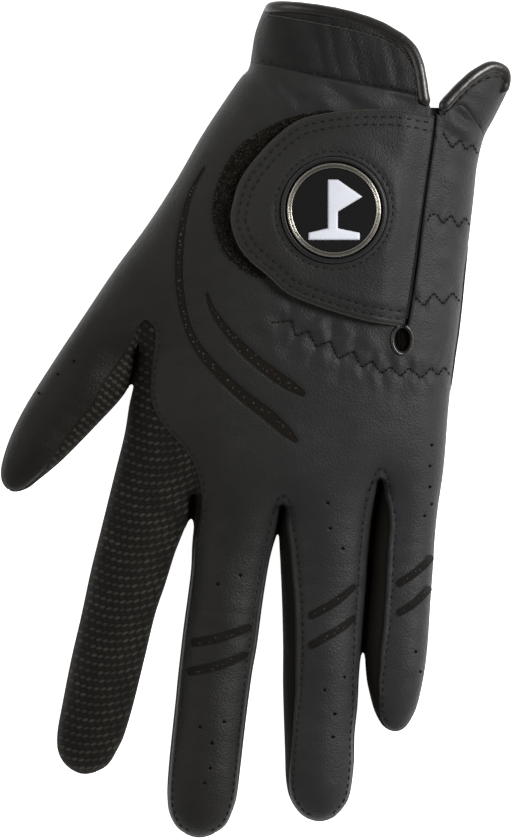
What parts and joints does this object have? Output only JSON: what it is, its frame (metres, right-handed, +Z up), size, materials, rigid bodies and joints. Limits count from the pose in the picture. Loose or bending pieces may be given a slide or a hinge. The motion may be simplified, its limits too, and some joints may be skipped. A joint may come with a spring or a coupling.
{
  "type": "golf glove",
  "caption": "Left-hand golf glove lying palm down, with a knit web, flexing fingers, a fold-open closure tab and a lift-out ball marker.",
  "frame": {"origin": "centre of the overall box in plan, at the flat underside of the palm", "axes": "+X towards the little-finger side, +Y towards the cuff, +Z up out of the back of the hand"},
  "size_m": [0.1372, 0.2255, 0.0263],
  "materials": {
    "back_panel": "fine grain",
    "bar_little_lower": "fine grain",
    "bar_little_upper": "fine grain",
    "bar_middle_lower": "fine grain",
    "bar_middle_upper": "fine grain",
    "bar_ring_lower": "fine grain",
    "bar_ring_upper": "fine grain",
    "cuff_band": "fine grain",
    "cuff_binding": "glossy",
    "elastic_knuckle": "woven",
    "elastic_side": "woven",
    "elastic_wrist": "woven",
    "flap_band": "fine grain",
    "flap_binding": "glossy",
    "flex_insert_long": "knit",
    "flex_insert_short": "knit",
    "fourchette_index_middle": "fine grain",
    "fourchette_middle_ring": "fine grain",
    "fourchette_ring_little": "fine grain",
    "gusset_index_inner": "fine grain",
    "gusset_little_outer": "fine grain",
    "gusset_middle_inner": "fine grain",
    "gusset_middle_outer": "fine grain",
    "gusset_ring_inner": "fine grain",
    "gusset_ring_outer": "fine grain",
    "index_back": "knit",
    "index_palm": "fine grain",
    "index_tip_back": "knit",
    "index_tip_palm": "fine grain",
    "keyhole_binding": "glossy",
    "little_back": "fine grain",
    "little_palm": "fine grain",
    "little_tip_back": "fine grain",
    "little_tip_palm": "fine grain",
    "loop_pad": "napped",
    "marker_disc": "glossy",
    "marker_emblem": "satin",
    "marker_rim": "polished",
    "marker_socket": "satin",
    "middle_back": "fine grain",
    "middle_palm": "fine grain",
    "middle_tip_back": "fine grain",
    "middle_tip_palm": "fine grain",
    "palm_binding": "glossy",
    "palm_panel": "fine grain",
    "ring_back": "fine grain",
    "ring_palm": "fine grain",
    "ring_tip_back": "fine grain",
    "ring_tip_palm": "fine grain",
    "socket_magnet": "polished",
    "tab_hook_pad": "napped",
    "tab_leather": "fine grain",
    "thumb_back": "fine grain",
    "thumb_mesh": "knit",
    "thumb_palm": "fine grain",
    "thumb_tip_back": "fine grain",
    "thumb_tip_mesh": "knit",
    "thumb_tip_palm": "fine grain",
    "web_mesh": "knit"
  },
  "bodies": {
    "hand": {"back_panel": "back_panel", "cuff_band": "cuff_band", "cuff_binding": "cuff_binding", "elastic_knuckle": "elastic_knuckle", "elastic_side": "elastic_side", "elastic_wrist": "elastic_wrist", "flap_band": "flap_band", "flap_binding": "flap_binding", "flex_insert_long": "flex_insert_long", "flex_insert_short": "flex_insert_short", "fourchette_index_middle": "fourchette_index_middle", "fourchette_middle_ring": "fourchette_middle_ring", "fourchette_ring_little": "fourchette_ring_little", "index_back": "index_back", "index_palm": "index_palm", "keyhole_binding": "keyhole_binding", "little_back": "little_back", "little_palm": "little_palm", "loop_pad": "loop_pad", "middle_back": "middle_back", "middle_palm": "middle_palm", "palm_binding": "palm_binding", "palm_panel": "palm_panel", "ring_back": "ring_back", "ring_palm": "ring_palm", "thumb_back": "thumb_back", "thumb_mesh": "thumb_mesh", "thumb_palm": "thumb_palm", "web_mesh": "web_mesh"},
    "index_tip": {"gusset_index_inner": "gusset_index_inner", "index_tip_back": "index_tip_back", "index_tip_palm": "index_tip_palm"},
    "middle_tip": {"bar_middle_lower": "bar_middle_lower", "bar_middle_upper": "bar_middle_upper", "gusset_middle_inner": "gusset_middle_inner", "gusset_middle_outer": "gusset_middle_outer", "middle_tip_back": "middle_tip_back", "middle_tip_palm": "middle_tip_palm"},
    "ring_tip": {"bar_ring_lower": "bar_ring_lower", "bar_ring_upper": "bar_ring_upper", "gusset_ring_inner": "gusset_ring_inner", "gusset_ring_outer": "gusset_ring_outer", "ring_tip_back": "ring_tip_back", "ring_tip_palm": "ring_tip_palm"},
    "little_tip": {"bar_little_lower": "bar_little_lower", "bar_little_upper": "bar_little_upper", "gusset_little_outer": "gusset_little_outer", "little_tip_back": "little_tip_back", "little_tip_palm": "little_tip_palm"},
    "thumb_tip": {"thumb_tip_back": "thumb_tip_back", "thumb_tip_mesh": "thumb_tip_mesh", "thumb_tip_palm": "thumb_tip_palm"},
    "tab": {"marker_socket": "marker_socket", "socket_magnet": "socket_magnet", "tab_hook_pad": "tab_hook_pad", "tab_leather": "tab_leather"},
    "marker": {"marker_disc": "marker_disc", "marker_emblem": "marker_emblem", "marker_rim": "marker_rim"}
  },
  "joints": [
    {"name": "index_bend", "type": "hinge", "parent": "hand", "child": "index_tip", "pos_m": [-0.0375, -0.0535, 0], "axis": [0.9715, -0.2369, 0], "range_deg": [0, 90]},
    {"name": "middle_bend", "type": "hinge", "parent": "hand", "child": "middle_tip", "pos_m": [-0.0094, -0.054, 0], "axis": [0.9925, -0.1221, 0], "range_deg": [0, 90]},
    {"name": "ring_bend", "type": "hinge", "parent": "hand", "child": "ring_tip", "pos_m": [0.0181, -0.0415, 0], "axis": [0.9992, -0.04, 0], "range_deg": [0, 90]},
    {"name": "little_bend", "type": "hinge", "parent": "hand", "child": "little_tip", "pos_m": [0.0394, -0.0356, 0], "axis": [0.9992, -0.04, 0], "range_deg": [0, 90]},
    {"name": "thumb_bend", "type": "hinge", "parent": "hand", "child": "thumb_tip", "pos_m": [-0.0529, 0.0012, 0], "axis": [0.841, -0.541, 0], "range_deg": [0, 90]},
    {"name": "tab_open", "type": "hinge", "parent": "hand", "child": "tab", "pos_m": [0.0449, 0.0542, 0.01872], "axis": [0.1404, 0.9901, 0], "range_deg": [0, 125]},
    {"name": "marker_lift", "type": "slide", "parent": "tab", "child": "marker", "axis": [0, 0, 1], "range_m": [0, 0.02]}
  ]
}
